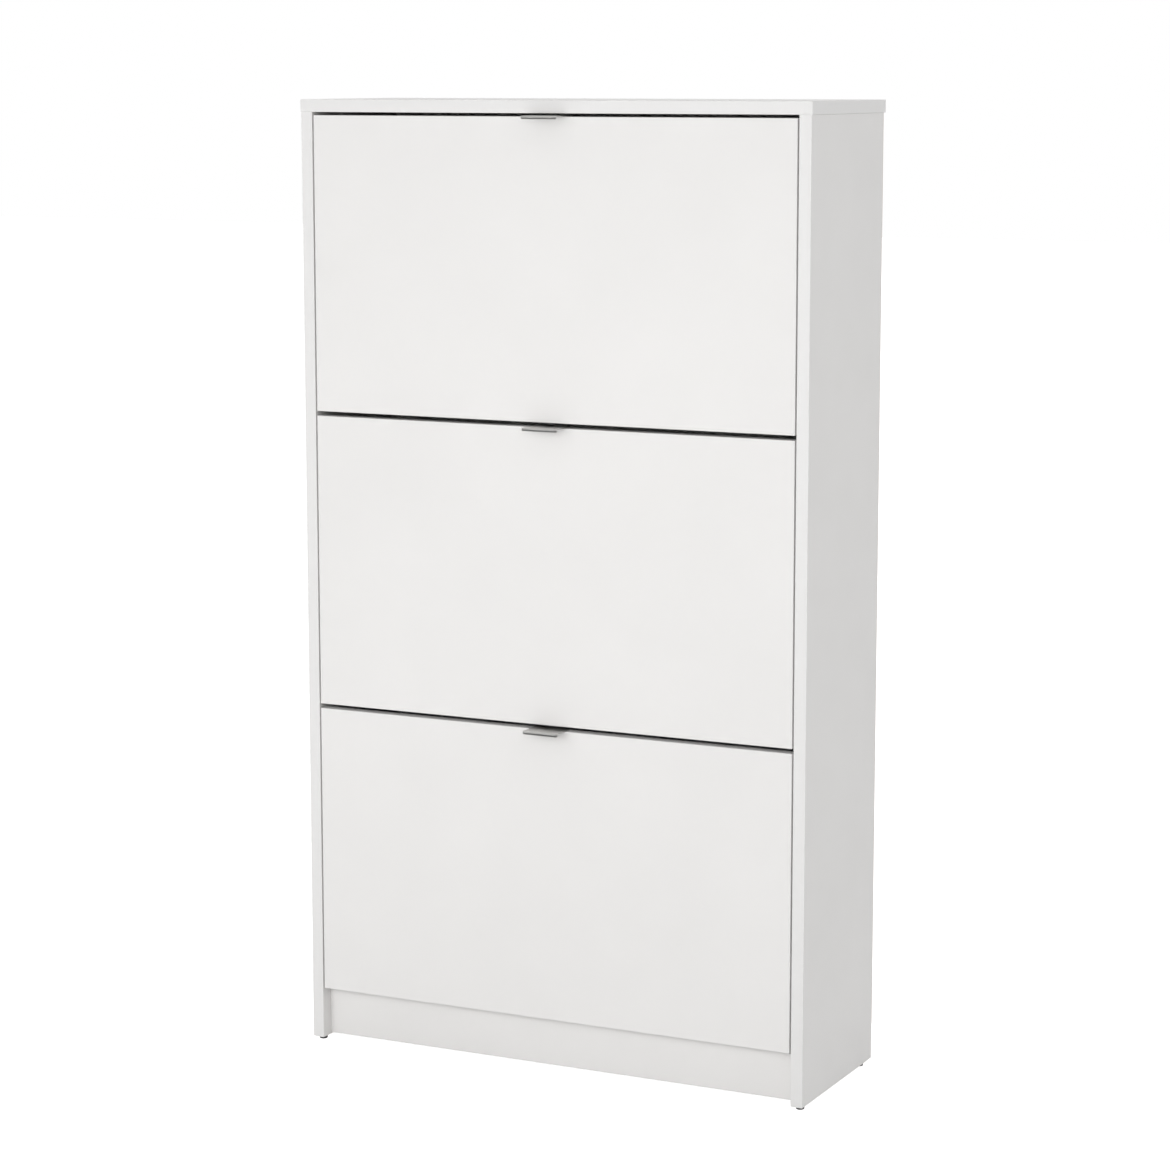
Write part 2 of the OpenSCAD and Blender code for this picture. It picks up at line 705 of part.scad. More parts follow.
module right_bracket() color(bracket_white) difference() {
    union() {
        along_x(plate_in_x, plate_x) difference() {
            polygon(plate_outline);
            translate([pivot_in, pivot_up]) stop_slot();
        }
        along_x(plate_in_x - rib_d, plate_in_x + eps) difference() {
            union() for (box = rack_boxes) board_end(box, slide_fit + rib_t);
            for (box = rack_boxes) board_end(box, slide_fit);
            translate([0, plate_low]) square([board_t, divider_top]);
        }
        block([plate_x - flange_w, board_t, plate_low], [plate_x, board_t + flange_t, flange_top]);
        for (z = gusset_zs) translate([0, 0, z]) gusset();
        translate([0, pivot_in, pivot_up]) bar_x(boss_d, plate_x - boss_l, plate_x);
    }
    translate([0, pivot_in, pivot_up]) bar_x(pivot_bore_d, plate_x - boss_l - eps, plate_x + eps);
    for (z = bracket_screw_zs) translate([bracket_screw_x, board_t, z])
        bar_y(screw_d + 2 * fit, -eps, flange_t + eps);
}

module left_bracket() {
    mirror([1, 0, 0]) right_bracket();
}

module rack_board(box) color(thin_white) {
    block([-rack_half, box[0], box[1]], [rack_half, box[2], box[3]]);
}

// Nodes --------------------------------------------------------------------

placed() top_panel();
placed() left_side();
placed() right_side();
placed() plinth();
placed() bottom_panel();
placed() lower_back();
placed() upper_back();
placed() back_strip();
placed() back_nails();
placed() cam_locks();
placed() cam_bolts();
placed() dowels();
placed() glides();
placed() pivot_pins();
placed() stop_pins();
placed() wall_plates();
placed() wall_plate_screws();
for (i = [0:last_level]) {
    level = levels[i];
    placed() rail(i);
    placed() translate([0, 0, flap_z(i)]) {
        flap();
        handle();
        flap_screws();
        left_bracket();
        right_bracket();
        rack_board(front_floor_box);
        rack_board(divider_box);
        rack_board(rear_floor_box);
        rack_board(rear_wall_box);
    }
}
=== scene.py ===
"""Shoe cabinet with three tip-out flaps: softened boards, bent handles, finishes and a pale studio."""
import logging
import math
from collections import defaultdict
from dataclasses import dataclass, field
from enum import Enum, IntEnum
from typing import Iterable, NamedTuple, Sequence

import bmesh
import bpy
from mathutils import Matrix, Vector
from mathutils.geometry import delaunay_2d_cdt


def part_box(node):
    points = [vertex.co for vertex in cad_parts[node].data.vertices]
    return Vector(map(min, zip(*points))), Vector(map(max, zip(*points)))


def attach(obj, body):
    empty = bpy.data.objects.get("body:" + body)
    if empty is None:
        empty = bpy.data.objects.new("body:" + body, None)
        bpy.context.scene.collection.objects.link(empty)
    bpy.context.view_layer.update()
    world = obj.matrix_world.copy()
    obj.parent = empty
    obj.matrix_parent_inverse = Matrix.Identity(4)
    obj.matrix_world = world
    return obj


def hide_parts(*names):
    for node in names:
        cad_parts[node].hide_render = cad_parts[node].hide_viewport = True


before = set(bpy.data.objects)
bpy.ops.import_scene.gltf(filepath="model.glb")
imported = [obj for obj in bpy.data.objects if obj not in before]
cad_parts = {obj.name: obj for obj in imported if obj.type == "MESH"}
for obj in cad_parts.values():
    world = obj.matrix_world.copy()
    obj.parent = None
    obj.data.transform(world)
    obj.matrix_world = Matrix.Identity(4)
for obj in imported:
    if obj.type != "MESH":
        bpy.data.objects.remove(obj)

LOG = logging.getLogger("shoe_cabinet")
MM = 0.001
CARCASS = "carcass"
Edge = bmesh.types.BMEdge
Material = bpy.types.Material
Mesh = bmesh.types.BMesh
Piece = bpy.types.Object
Polygon = bmesh.types.BMFace
Socket = bpy.types.NodeSocket
Triple = tuple[float, float, float]
Colour = Triple
Point = tuple[float, float]
Span = tuple[float, float]


class Axis(IntEnum):
    """The three axes, as indexes into a point."""

    ACROSS = 0
    DEEP = 1
    UP = 2


class Level(Enum):
    """The three flap units, from the floor up."""

    LOWER = "lower"
    MIDDLE = "middle"
    UPPER = "upper"

    @property
    def body(self) -> str:
        """Name of the moving body that the unit's pieces ride on."""
        return f"{self.value}_flap_unit"

    def node(self, part: str) -> str:
        """Names one of the unit's own nodes.

        Args:
            part: What the node is within its unit.

        Returns:
            The node's name.
        """
        return f"{self.value}_{part}"


class Face(Enum):
    """The six sides of a board, each as an axis and a direction along it."""

    LEFT = (Axis.ACROSS, -1)
    RIGHT = (Axis.ACROSS, 1)
    FRONT = (Axis.DEEP, -1)
    REAR = (Axis.DEEP, 1)
    UNDER = (Axis.UP, -1)
    TOP = (Axis.UP, 1)


class Skin(IntEnum):
    """A board's finishes, in the order of its material slots."""

    FACE = 0
    EDGE = 1
    CORE = 2
    OTHER_FACE = 3


# Shader trees -----------------------------------


class Graph:
    """A shader tree with short ways to add and join its nodes."""

    def __init__(self, owner: Material | bpy.types.World) -> None:
        """Starts the tree.

        Args:
            owner: The material or world that it belongs to.
        """
        owner.use_nodes = True
        self.tree = owner.node_tree

    def node(self, kind: str, **settings: object) -> bpy.types.Node:
        """Adds a node and sets its properties.

        Args:
            kind: The node's Blender type.
            **settings: Property names and values.

        Returns:
            The new node.
        """
        made = self.tree.nodes.new(kind)
        for name, value in settings.items():
            setattr(made, name, value)
        return made

    def feed(self, socket: Socket, value: object) -> None:
        """Joins a socket to another one, or sets its constant value.

        Args:
            socket: The socket that is fed.
            value: An output socket or a constant.
        """
        if isinstance(value, bpy.types.NodeSocket):
            self.tree.links.new(value, socket)
        else:
            socket.default_value = value

    def spread(self, value: Socket, low: Socket | float = 0.0, high: Socket | float = 1.0, start: float = 0.3,
               end: float = 0.7, smooth: bool = False) -> Socket:
        """Maps a value onto a range.

        Args:
            value: The value.
            low: Result at start.
            high: Result at end.
            start: The value that gives low.
            end: The value that gives high.
            smooth: Whether the range eases in and out.

        Returns:
            The mapped value.
        """
        made = self.node("ShaderNodeMapRange", interpolation_type="SMOOTHSTEP" if smooth else "LINEAR")
        names = ("Value", "To Min", "To Max", "From Min", "From Max")
        for name, given in zip(names, (value, low, high, start, end)):
            self.feed(made.inputs[name], given)
        return made.outputs["Result"]


class ShaderGraph(Graph):
    """A material's shader tree.

    A mix node has a set of sockets for each kind of value, all with the same names, so its colours are found
    by their indexes.
    """

    MIXED_COLOURS = (6, 7)
    MIX_RESULT = 2

    def __init__(self, name: str) -> None:
        """Starts a material with one shader.

        Args:
            name: The material's name.
        """
        self.material = bpy.data.materials.new(name)
        super().__init__(self.material)
        self.shader = self.tree.nodes["Principled BSDF"]
        self.place = self.node("ShaderNodeTexCoord").outputs["Object"]

    def stretched(self, stretch: Sequence[float]) -> Socket:
        """Gives the object's coordinates, multiplied along each axis.

        Args:
            stretch: A factor for each axis; a small one draws a pattern out.

        Returns:
            The stretched coordinates.
        """
        mapping = self.node("ShaderNodeMapping")
        self.feed(mapping.inputs["Vector"], self.place)
        mapping.inputs["Scale"].default_value = stretch
        return mapping.outputs["Vector"]

    def noise(self, grain: float, detail: float = 2.0, stretch: Sequence[float] = (1, 1, 1),
              swirl: float = 0.0) -> Socket:
        """Adds cloudy noise.

        Args:
            grain: Size of its features, in metres.
            detail: How many finer layers it has.
            stretch: A factor for each axis.
            swirl: How far the pattern is distorted.

        Returns:
            The noise, around 0.5.
        """
        made = self.node("ShaderNodeTexNoise")
        self.feed(made.inputs["Vector"], self.stretched(stretch))
        made.inputs["Scale"].default_value = 1.0 / grain
        made.inputs["Detail"].default_value = detail
        made.inputs["Distortion"].default_value = swirl
        return made.outputs["Fac"]

    def cells(self, grain: float, stretch: Sequence[float] = (1, 1, 1), colour: bool = False) -> Socket:
        """Adds a cellular pattern.

        Args:
            grain: Size of a cell, in metres.
            stretch: A factor for each axis.
            colour: Whether to give each cell's own random colour in place of the distance.

        Returns:
            The pattern.
        """
        made = self.node("ShaderNodeTexVoronoi")
        self.feed(made.inputs["Vector"], self.stretched(stretch))
        made.inputs["Scale"].default_value = 1.0 / grain
        return made.outputs["Color" if colour else "Distance"]

    def blend(self, amount: Socket, first: object, second: object) -> Socket:
        """Mixes two colours.

        Args:
            amount: 0 for the first colour, 1 for the second.
            first: A colour or a socket.
            second: A colour or a socket.

        Returns:
            The mixed colour.
        """
        made = self.node("ShaderNodeMix", data_type="RGBA")
        self.feed(made.inputs["Factor"], amount)
        for index, value in zip(self.MIXED_COLOURS, (first, second)):
            self.feed(made.inputs[index], value if isinstance(value, bpy.types.NodeSocket) else (*value, 1.0))
        return made.outputs[self.MIX_RESULT]

    def tones(self, amount: Socket, colour: Colour, low: float, high: float) -> Socket:
        """Varies a colour's tone, with no channel above 1.

        Args:
            amount: 0 for the low tone, 1 for the high one.
            colour: The colour.
            low: What its channels are multiplied by in the low tone.
            high: What they are multiplied by in the high tone.

        Returns:
            The varied colour.
        """
        return self.blend(amount, *(tuple(min(1.0, c * tone) for c in colour) for tone in (low, high)))

    def shade(self, colour: Socket, factor: float) -> Socket:
        """Darkens a colour.

        Args:
            colour: The colour's socket.
            factor: What each channel is multiplied by.

        Returns:
            The darkened colour.
        """
        made = self.node("ShaderNodeVectorMath", operation="SCALE")
        self.feed(made.inputs[0], colour)
        made.inputs["Scale"].default_value = factor
        return made.outputs[0]

    def add(self, first: Socket, second: Socket, share: float) -> Socket:
        """Adds a share of one pattern to another.

        Args:
            first: The main pattern.
            second: The pattern that is added.
            share: How much of it is added.

        Returns:
            The sum.
        """
        made = self.node("ShaderNodeMath", operation="MULTIPLY_ADD")
        self.feed(made.inputs[0], second)
        made.inputs[1].default_value = share
        self.feed(made.inputs[2], first)
        return made.outputs[0]

    def relief(self, height: Socket, depth: float, strength: float = 1.0) -> None:
        """Gives the shader a relief.

        Args:
            height: The relief's pattern, from 0 to 1.
            depth: Its depth, in metres.
            strength: How much of it shows.
        """
        made = self.node("ShaderNodeBump")
        made.inputs["Strength"].default_value = strength
        made.inputs["Distance"].default_value = depth
        self.feed(made.inputs["Height"], height)
        self.feed(self.shader.inputs["Normal"], made.outputs["Normal"])

    def set(self, **values: object) -> None:
        """Sets or feeds the shader's sockets.

        Args:
            **values: Socket names, with _ for a space, and constants or output sockets.
        """
        for name, value in values.items():
            self.feed(self.shader.inputs[name.replace("_", " ")], value)


# Finishes ---------------------------------------


@dataclass(frozen=True)
class WhiteFoil:
    """Satin white foil on a board: faint clouding, uneven sheen and a fine orange-peel skin."""

    name: str = "white_foil"
    colour: Colour = (0.822, 0.812, 0.800)
    cloud_size: float = 0.16
    clouding: float = 0.012
    sheen_size: float = 0.045
    roughness: Span = (0.34, 0.44)
    refraction: float = 1.48
    peel: float = 1.1 * MM
    swell: float = 9.0
    swell_share: float = 0.8
    peel_depth: float = 0.012 * MM

    def material(self) -> Material:
        """Builds the foil's material."""
        graph = ShaderGraph(self.name)
        cloud = graph.spread(graph.noise(self.cloud_size, detail=3.0))
        graph.set(
            Base_Color=graph.tones(cloud, self.colour, 1 - self.clouding, 1 + self.clouding),
            Roughness=graph.spread(graph.noise(self.sheen_size, detail=4.0), *self.roughness),
            IOR=self.refraction,
        )
        fine = graph.noise(self.peel, detail=1.5)
        broad = graph.noise(self.peel * self.swell, detail=1.0)
        graph.relief(graph.add(fine, broad, self.swell_share), self.peel_depth, strength=0.6)
        return graph.material


@dataclass(frozen=True)
class EdgeBand:
    """White edge banding: a touch cooler and glossier than the foil, with faint marks along the run."""

    name: str = "edge_band"
    colour: Colour = (0.812, 0.806, 0.798)
    dimming: float = 0.988
    roughness: Span = (0.30, 0.40)
    refraction: float = 1.49
    run_grain: float = 0.9 * MM
    run_squeeze: float = 0.04
    cross_share: float = 0.7
    mark_depth: float = 0.006 * MM

    def material(self) -> Material:
        """Builds the banding's material."""
        graph = ShaderGraph(self.name)
        run = graph.noise(self.run_grain, stretch=(1, 1, self.run_squeeze))
        cross = graph.noise(self.run_grain, stretch=(self.run_squeeze, 1, 1))
        marks = graph.add(run, cross, self.cross_share)
        graph.set(
            Base_Color=graph.tones(graph.spread(marks, start=0.6, end=1.1), self.colour, self.dimming, 1.0),
            Roughness=graph.spread(marks, *self.roughness, start=0.5, end=1.2),
            IOR=self.refraction,
        )
        graph.relief(marks, self.mark_depth, strength=0.5)
        return graph.material


@dataclass(frozen=True)
class Chipboard:
    """Raw pressed chips, where a board is drilled or has no banding."""

    name: str = "raw_chipboard"
    light: Colour = (0.52, 0.38, 0.22)
    dark: Colour = (0.24, 0.15, 0.08)
    roughness: float = 0.85
    chip: float = 2.2 * MM
    chip_stretch: Triple = (1, 0.6, 2.2)
    chip_share: float = 0.6
    gap_size: float = 0.7
    gap_stretch: Triple = (1.3, 0.8, 1.6)
    gap_depth: float = 0.25 * MM

    def material(self) -> Material:
        """Builds the chipboard's material."""
        graph = ShaderGraph(self.name)
        chips = graph.cells(self.chip, self.chip_stretch, colour=True)
        gaps = graph.cells(self.chip * self.gap_size, self.gap_stretch)
        dust = graph.noise(self.chip, detail=4.0)
        shade = graph.spread(graph.add(dust, chips, self.chip_share), start=0.45, end=1.1)
        graph.set(Base_Color=graph.blend(shade, self.dark, self.light), Roughness=self.roughness)
        graph.relief(gaps, self.gap_depth, strength=0.8)
        return graph.material


@dataclass(frozen=True)
class Fibreboard:
    """Thin pressed fibreboard: bare and tan, or lacquered white with the fibres just showing."""

    name: str
    colour: Colour
    flecks: float
    sheen: float
    refraction: float = 1.45
    uneven_sheen: Span = (-0.05, 0.08)
    mottle_size: float = 0.05
    mottle_share: float = 0.35
    fibre: float = 0.8 * MM
    fibre_squeeze: float = 0.22
    fibre_swirl: float = 0.6
    cross_share: float = 0.8
    fibre_depth: float = 0.03 * MM

    def material(self) -> Material:
        """Builds the fibreboard's material."""
        graph = ShaderGraph(self.name)
        squeezes = ((self.fibre_squeeze, 1, 1), (1, 1, self.fibre_squeeze))
        along, across = (graph.noise(self.fibre, detail=5.0, stretch=squeeze, swirl=self.fibre_swirl)
                         for squeeze in squeezes)
        fibres = graph.add(along, across, self.cross_share)
        mottle = graph.spread(graph.noise(self.mottle_size, detail=4.0))
        plain = graph.tones(mottle, self.colour, 1 - self.mottle_share * self.flecks, 1.0)
        shade = graph.spread(fibres, start=0.65, end=1.15)
        graph.set(
            Base_Color=graph.blend(shade, graph.shade(plain, 1 - self.flecks), plain),
            Roughness=graph.spread(fibres, *(self.sheen + step for step in self.uneven_sheen), start=0.6,
                                   end=1.2),
            IOR=self.refraction,
        )
        graph.relief(fibres, self.fibre_depth, strength=0.5)
        return graph.material


@dataclass(frozen=True)
class MouldedPlastic:
    """Injection-moulded plastic with a fine spark-eroded skin and faint flow marks."""

    name: str
    colour: Colour
    rough: float
    refraction: float = 1.47
    flow_size: float = 0.03
    flow_stretch: Triple = (1, 0.4, 1)
    flow_swirl: float = 1.2
    flow_tones: Span = (0.975, 1.015)
    sheen_size: float = 0.02
    uneven_sheen: Span = (-0.05, 0.06)
    spark: float = 0.35 * MM
    spark_depth: float = 0.02 * MM

    def material(self) -> Material:
        """Builds the plastic's material."""
        graph = ShaderGraph(self.name)
        flow = graph.spread(graph.noise(self.flow_size, stretch=self.flow_stretch, swirl=self.flow_swirl))
        sheen = graph.noise(self.sheen_size, detail=3.0)
        graph.set(
            Base_Color=graph.tones(flow, self.colour, *self.flow_tones),
            Roughness=graph.spread(sheen, *(self.rough + step for step in self.uneven_sheen)),
            IOR=self.refraction,
        )
        graph.relief(graph.noise(self.spark), self.spark_depth, strength=0.5)
        return graph.material


@dataclass(frozen=True)
class BrushedMetal:
    """Metal with brush marks drawn out along one axis, clouded roughness and fine relief."""

    name: str
    colour: Colour
    rough: float
    stretch: Triple = (0.03, 1, 1)
    line: float = 0.16 * MM
    line_depth: float = 0.002 * MM
    smear: float = 0.4
    contrast: float = 0.06
    cloud_size: float = 0.012
    cloud_share: float = 0.6

    def material(self) -> Material:
        """Builds the metal's material."""
        graph = ShaderGraph(self.name)
        lines = graph.noise(self.line, detail=3.0, stretch=self.stretch)
        cloud = graph.noise(self.cloud_size, detail=3.0)
        graph.set(
            Base_Color=graph.tones(graph.spread(lines), self.colour, 1 - self.contrast, 1 + self.contrast),
            Roughness=graph.spread(graph.add(lines, cloud, self.cloud_share), self.rough - self.contrast,
                                   self.rough + self.contrast, start=0.5, end=1.1),
            Metallic=1.0,
            Anisotropic=self.smear,
        )
        graph.relief(lines, self.line_depth, strength=0.6)
        return graph.material


@dataclass(frozen=True)
class CastZinc:
    """Dull die-cast zinc with a pitted grey skin."""

    name: str = "cast_zinc"
    colour: Colour = (0.42, 0.43, 0.44)
    tones: Span = (0.8, 1.1)
    roughness: Span = (0.42, 0.6)
    metal: float = 0.9
    pit: float = 0.5 * MM
    pit_depth: float = 0.04 * MM

    def material(self) -> Material:
        """Builds the casting's material."""
        graph = ShaderGraph(self.name)
        pits = graph.noise(self.pit, detail=4.0)
        graph.set(
            Base_Color=graph.tones(graph.spread(pits), self.colour, *self.tones),
            Roughness=graph.spread(pits, *self.roughness),
            Metallic=self.metal,
        )
        graph.relief(pits, self.pit_depth, strength=0.6)
        return graph.material


@dataclass(frozen=True)
class Beech:
    """Raw beech with a straight grain and short dark flecks."""

    name: str = "beech"
    light: Colour = (0.60, 0.40, 0.22)
    dark: Colour = (0.40, 0.24, 0.12)
    roughness: float = 0.7
    grain: float = 0.7 * MM
    grain_squeeze: float = 0.06
    grain_swirl: float = 0.3
    grain_depth: float = 0.05 * MM
    fleck: float = 1.6 * MM
    fleck_squeeze: float = 0.2
    fleck_tone: float = 0.8

    def material(self) -> Material:
        """Builds the wood's material."""
        graph = ShaderGraph(self.name)
        grain = graph.noise(self.grain, detail=4.0, stretch=(self.grain_squeeze, 1, 1),
                            swirl=self.grain_swirl)
        flecks = graph.spread(graph.cells(self.fleck, (self.fleck_squeeze, 1, 1)), start=0.1, end=0.5)
        wood = graph.blend(graph.spread(grain), self.dark, self.light)
        graph.set(Base_Color=graph.blend(flecks, graph.shade(wood, self.fleck_tone), wood),
                  Roughness=self.roughness)
        graph.relief(grain, self.grain_depth, strength=0.5)
        return graph.material


@dataclass(frozen=True)
class Finishes:
    """Every finish on the cabinet, as built materials."""

    foil: Material = field(default_factory=WhiteFoil().material)
    band: Material = field(default_factory=EdgeBand().material)
    core: Material = field(default_factory=Chipboard().material)
    thin_white: Material = field(default_factory=Fibreboard(
        "white_fibreboard", (0.78, 0.775, 0.76), flecks=0.03, sheen=0.5).material)
    thin_bare: Material = field(default_factory=Fibreboard(
        "bare_fibreboard", (0.47, 0.32, 0.19), flecks=0.34, sheen=0.72).material)
    fitting: Material = field(default_factory=MouldedPlastic(
        "fitting_plastic", (0.70, 0.70, 0.69), rough=0.42).material)
    strip: Material = field(default_factory=MouldedPlastic(
        "strip_plastic", (0.76, 0.76, 0.75), rough=0.36).material)
    glide: Material = field(default_factory=MouldedPlastic(
        "glide_plastic", (0.060, 0.060, 0.062), rough=0.5).material)
    nickel: Material = field(default_factory=BrushedMetal(
        "satin_nickel", (0.66, 0.655, 0.64), rough=0.42, stretch=(0.012, 1, 1), line=0.25 * MM,
        line_depth=0.001 * MM, smear=0.3, contrast=0.02).material)
    zinc_plate: Material = field(default_factory=BrushedMetal(
        "zinc_plate", (0.60, 0.61, 0.62), rough=0.28, stretch=(1, 1, 1), line=0.6 * MM,
        line_depth=0.004 * MM, smear=0.0).material)
    cast_zinc: Material = field(default_factory=CastZinc().material)
    beech: Material = field(default_factory=Beech().material)


# Mesh helpers -----------------------------------


def node_mesh(node: str, weld: float = 0.001 * MM) -> Mesh:
    """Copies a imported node's mesh and welds its facets together.

    Args:
        node: The node's name.
        weld: How near two corners are to become one.

    Returns:
        The copy, for the caller to change and free.
    """
    mesh = bmesh.new()
    mesh.from_mesh(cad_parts[node].data)
    bmesh.ops.remove_doubles(mesh, verts=mesh.verts, dist=weld)
    return mesh


def add_object(name: str, data: bpy.types.ID) -> Piece:
    """Adds an object to the scene.

    Args:
        name: The object's name.
        data: Its mesh, light or camera.

    Returns:
        The object.
    """
    made = bpy.data.objects.new(name, data)
    bpy.context.scene.collection.objects.link(made)
    return made


def add_mesh(name: str, mesh: Mesh) -> Piece:
    """Adds an object with a mesh of its own to the scene.

    Args:
        name: The object's and the mesh's name.
        mesh: The mesh's shape, which is freed.

    Returns:
        The object.
    """
    data = bpy.data.meshes.new(name)
    mesh.to_mesh(data)
    mesh.free()
    return add_object(name, data)


def finish_piece(name: str, mesh: Mesh, materials: Iterable[Material], body: str,
                 nodes: Sequence[str]) -> Piece:
    """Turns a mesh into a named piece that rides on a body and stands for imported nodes.

    Args:
        name: The piece's name.
        mesh: Its mesh, which is freed.
        materials: Its materials, in the order of the faces' indexes.
        body: The body it rides on.
        nodes: The nodes it replaces.

    Returns:
        The piece.
    """
    piece = add_mesh(name, mesh)
    for material in materials:
        piece.data.materials.append(material)
    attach(piece, body)
    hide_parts(*nodes)
    LOG.info("%s rides on %s: %d faces", name, body, len(piece.data.polygons))
    return piece


def arc(radius: float, steps: int, degrees: float = 90.0) -> list[Point]:
    """Lays out points along an arc that starts straight ahead and turns aside.

    Args:
        radius: Its radius.
        steps: Number of facets along it.
        degrees: How far it turns.

    Returns:
        Each point's distance ahead of the start and its distance aside, both in metres.
    """
    turns = [math.radians(degrees) * k / steps for k in range(steps + 1)]
    return [(radius * math.sin(turn), radius * (1 - math.cos(turn))) for turn in turns]


def apply_modifiers(piece: Piece) -> None:
    """Fixes a piece's modifiers into its mesh.

    Args:
        piece: The piece.
    """
    depsgraph = bpy.context.evaluated_depsgraph_get()
    made = bpy.data.meshes.new_from_object(piece.evaluated_get(depsgraph))
    old = piece.data
    piece.modifiers.clear()
    piece.data = made
    bpy.data.meshes.remove(old)


def smooth_by_angle(piece: Piece, degrees: float) -> None:
    """Shades a piece smooth, except across sharp edges.

    Args:
        piece: The piece.
        degrees: Edges sharper than this stay sharp.
    """
    piece.data.polygons.foreach_set("use_smooth", [True] * len(piece.data.polygons))
    piece.data.set_sharp_from_angle(angle=math.radians(degrees))


def rounded_edges(piece: Piece, width: float, segments: int, degrees: float) -> None:
    """Rounds a piece's sharp edges.

    Args:
        piece: The piece.
        width: Radius of the rounding, in metres.
        segments: Number of facets across it.
        degrees: Only edges sharper than this are rounded.
    """
    bevel = piece.modifiers.new("rounding", "BEVEL")
    bevel.width = width
    bevel.segments = segments
    bevel.limit_method = "ANGLE"
    bevel.angle_limit = math.radians(degrees)
    bevel.use_clamp_overlap = True
    bevel.harden_normals = False
    apply_modifiers(piece)


def drill(piece: Piece, places: Iterable[Vector], radius: float, depth: float, sides: int = 32) -> None:
    """Drills round holes through a piece from front to rear.

    Args:
        piece: The piece.
        places: The holes' middles.
        radius: Their radius.
        depth: Their length.
        sides: Number of facets around each.
    """
    mesh = bmesh.new()
    for place in places:
        along_y = Matrix.Translation(place) @ Matrix.Rotation(math.pi / 2, 4, "X")
        bmesh.ops.create_cone(mesh, cap_ends=True, segments=sides, radius1=radius, radius2=radius,
                              depth=depth, matrix=along_y)
    bit = add_mesh("drill", mesh)
    bit_data = bit.data
    cut = piece.modifiers.new("holes", "BOOLEAN")
    cut.operation = "DIFFERENCE"
    cut.solver = "EXACT"
    cut.object = bit
    apply_modifiers(piece)
    bpy.data.objects.remove(bit)
    bpy.data.meshes.remove(bit_data)


# Flat faces -------------------------------------


@dataclass
class FlatRegion:
    """Faces that join edge to edge in one plane, to be split anew into clean triangles."""

    mesh: Mesh
    faces: list[Polygon]
    nearness: float = 1e-9

    def rim(self) -> list[Edge]:
        """Finds the edges around the region and around its holes.

        Returns:
            The edges that border just one of the region's faces.
        """
        own = set(self.faces)
        edges = dict.fromkeys(edge for face in self.faces for edge in face.edges)
        return [edge for edge in edges if sum(face in own for face in edge.link_faces) == 1]

    @staticmethod
    def within(triangles: Sequence[Sequence[int]], walls: set[frozenset[int]]) -> list[Sequence[int]]:
        """Sorts the triangles inside the rim from those outside it or in its holes.

        Args:
            triangles: The corners of every triangle, in the order found.
            walls: The sides that lie on the rim.

        Returns:
            The triangles inside.
        """
        sides = [[frozenset(pair) for pair in zip(t, (*t[1:], t[0]))] for t in triangles]
        beside = defaultdict(list)
        for k, three in enumerate(sides):
            for side in three:
                beside[side].append(k)
        inside = {near[0]: side in walls for side, near in beside.items() if len(near) == 1}
        reached = list(inside)
        for k in reached:
            for side in sides[k]:
                for other in beside[side]:
                    if other not in inside:
                        inside[other] = inside[k] ^ (side in walls)
                        reached.append(other)
        return [t for k, t in enumerate(triangles) if inside[k]]

    def refill(self) -> None:
        """Replaces the region's faces by triangles between the corners of its rim."""
        upright = self.faces[0].normal.to_track_quat("Z", "Y").to_matrix()
        flatten = upright.transposed()
        rim = self.rim()
        corners = list(dict.fromkeys(corner for edge in rim for corner in edge.verts))
        level = (flatten @ corners[0].co).z
        points = [(flatten @ corner.co).xy for corner in corners]
        order = {corner: k for k, corner in enumerate(corners)}
        joins = [(order[edge.verts[0]], order[edge.verts[1]]) for edge in rim]
        found, edges, triangles, sources, lines, _ = delaunay_2d_cdt(points, joins, [], 0, self.nearness)
        walls = {frozenset(edge) for edge, line in zip(edges, lines) if line}
        material = self.faces[0].material_index
        bmesh.ops.delete(self.mesh, geom=self.faces, context="FACES_KEEP_BOUNDARY")
        placed = [corners[source[0]] if source else self.mesh.verts.new(upright @ Vector((*at, level)))
                  for at, source in zip(found, sources)]
        for triangle in self.within(triangles, walls):
            self.mesh.faces.new([placed[k] for k in triangle]).material_index = material


def flat_regions(mesh: Mesh, tilt: float = 1e-5, offset: float = 0.01 * MM) -> list[FlatRegion]:
    """Groups a mesh's faces into flat regions.

    Args:
        mesh: The mesh.
        tilt: How far the cosine between two normals may be from 1.
        offset: How far a face may be from the plane.

    Returns:
        The regions that are more than one plain triangle or quad.
    """
    mesh.normal_update()
    seen = set()
    regions = []
    for start in mesh.faces:
        if start in seen:
            continue
        seen.add(start)
        region = [start]
        for face in region:
            for other in dict.fromkeys(near for edge in face.edges for near in edge.link_faces):
                apart = (other.verts[0].co - start.verts[0].co).dot(start.normal)
                if other not in seen and other.normal.dot(start.normal) > 1 - tilt and abs(apart) < offset:
                    seen.add(other)
                    region.append(other)
        if len(region) > 1 or len(start.verts) > 4:
            regions.append(FlatRegion(mesh, region))
    return regions


def refill_flats(mesh: Mesh) -> None:
    """Splits every flat region of a mesh anew, so that no face folds over or covers a hole.

    Args:
        mesh: The mesh.
    """
    for region in flat_regions(mesh):
        region.refill()
    mesh.normal_update()


# Boards -----------------------------------------


